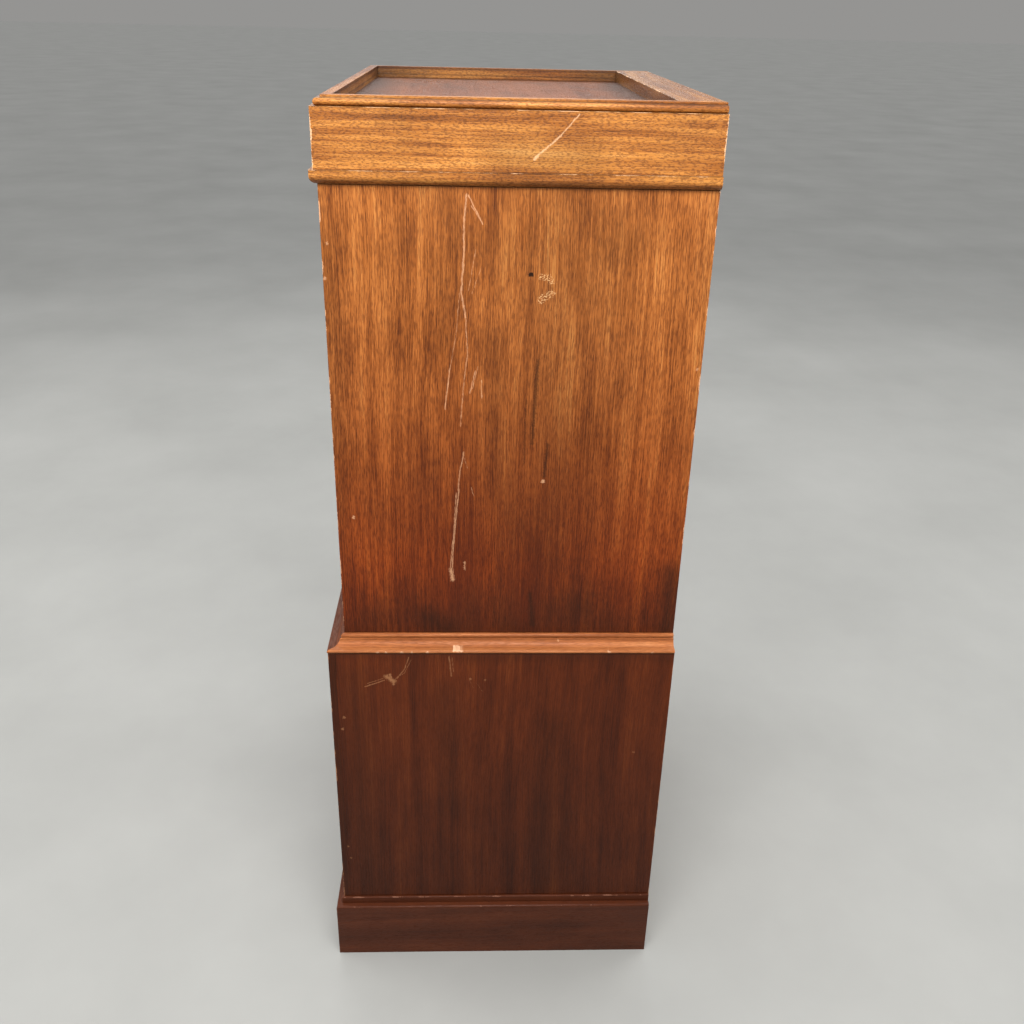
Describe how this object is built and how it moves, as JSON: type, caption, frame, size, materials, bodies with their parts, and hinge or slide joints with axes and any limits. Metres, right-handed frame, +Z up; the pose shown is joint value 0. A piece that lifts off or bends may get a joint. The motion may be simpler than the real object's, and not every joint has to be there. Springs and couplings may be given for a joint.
{
  "type": "barrister bookcase",
  "caption": "Glazed barrister bookcase in mahogany with up-and-over doors, standing on a wider panelled cupboard, with a tray top and a plinth.",
  "frame": {"origin": "on the floor, at the middle of the footprint of everything at rest, the knobs included", "axes": "+Z up, -Y out of the front with the doors, +X to the right-hand side board as seen from the front"},
  "size_m": [0.644, 0.474, 1.2],
  "materials": {
    "mahogany_golden": "satin French polish, faded golden",
    "mahogany": "satin French polish, red-brown",
    "mahogany_dark": "satin French polish, dark red-brown",
    "inside_wood": "stained, unpolished",
    "glass": "clear",
    "brass": "aged, lacquered",
    "steel": "dull"
  },
  "bodies": {
    "case": {"cornice_front": "mahogany_golden", "cornice_side_left": "mahogany_golden", "cornice_side_right": "mahogany_golden", "cornice_back_board": "mahogany_golden", "cornice_rear_rail": "inside_wood", "tray_panel": "mahogany_dark", "glue_blocks": "inside_wood", "case_side_left": "mahogany", "case_side_right": "mahogany", "case_top_board": "mahogany", "case_middle_board": "mahogany", "case_bottom_board": "mahogany", "case_back_panel": "inside_wood", "waist_moulding_front": "mahogany_golden", "waist_moulding_left": "mahogany_golden", "waist_moulding_right": "mahogany_golden", "waist_board": "inside_wood", "cupboard_side_left": "mahogany_dark", "cupboard_side_right": "mahogany_dark", "cupboard_bottom_board": "inside_wood", "cupboard_back_panel": "inside_wood", "cupboard_shelf": "inside_wood", "shelf_pegs": "brass", "face_stiles": "mahogany_dark", "face_rails": "mahogany_dark", "fixed_hinge_leaves": "brass", "door_catches": "brass", "plinth_front": "mahogany_dark", "plinth_left": "mahogany_dark", "plinth_right": "mahogany_dark", "plinth_rear": "mahogany_dark", "plinth_fillets": "mahogany_dark"},
    "bottom_carriage": {"bottom_tier_guide_shoes": "steel", "bottom_tier_equaliser_bar": "mahogany"},
    "bottom_door": {"bottom_tier_door_stiles": "mahogany", "bottom_tier_door_top_rail": "mahogany", "bottom_tier_door_bottom_rail": "mahogany", "bottom_tier_glass": "glass", "bottom_tier_glazing_beads": "mahogany", "bottom_tier_knobs": "brass", "bottom_tier_pivot_pins": "steel"},
    "top_carriage": {"top_tier_guide_shoes": "steel", "top_tier_equaliser_bar": "mahogany"},
    "top_door": {"top_tier_door_stiles": "mahogany", "top_tier_door_top_rail": "mahogany", "top_tier_door_bottom_rail": "mahogany", "top_tier_glass": "glass", "top_tier_glazing_beads": "mahogany", "top_tier_knobs": "brass", "top_tier_pivot_pins": "steel"},
    "left_cupboard_door": {"left_door_stiles": "mahogany_dark", "left_door_rails": "mahogany_dark", "left_door_panel": "mahogany_dark", "left_door_knob": "brass", "left_door_hinge_leaves": "brass"},
    "right_cupboard_door": {"right_door_stiles": "mahogany_dark", "right_door_rails": "mahogany_dark", "right_door_panel": "mahogany_dark", "right_door_knob": "brass", "right_door_hinge_leaves": "brass"}
  },
  "joints": [
    {"name": "bottom_door_slide", "type": "slide", "parent": "case", "child": "bottom_carriage", "axis": [0, 1, 0], "range_m": [0, 0.185]},
    {"name": "bottom_door_lift", "type": "hinge", "parent": "bottom_carriage", "child": "bottom_door", "pos_m": [0, -0.183, 0.81125], "axis": [-1, 0, 0], "range_deg": [0, 90]},
    {"name": "top_door_slide", "type": "slide", "parent": "case", "child": "top_carriage", "axis": [0, 1, 0], "range_m": [0, 0.185]},
    {"name": "top_door_lift", "type": "hinge", "parent": "top_carriage", "child": "top_door", "pos_m": [0, -0.183, 1.083], "axis": [-1, 0, 0], "range_deg": [0, 90]},
    {"name": "left_cupboard_door_swing", "type": "hinge", "parent": "case", "child": "left_cupboard_door", "pos_m": [-0.27025, -0.2163, 0.321], "axis": [0, 0, -1], "range_deg": [0, 110]},
    {"name": "right_cupboard_door_swing", "type": "hinge", "parent": "case", "child": "right_cupboard_door", "pos_m": [0.27025, -0.2163, 0.321], "axis": [0, 0, 1], "range_deg": [0, 110]}
  ]
}
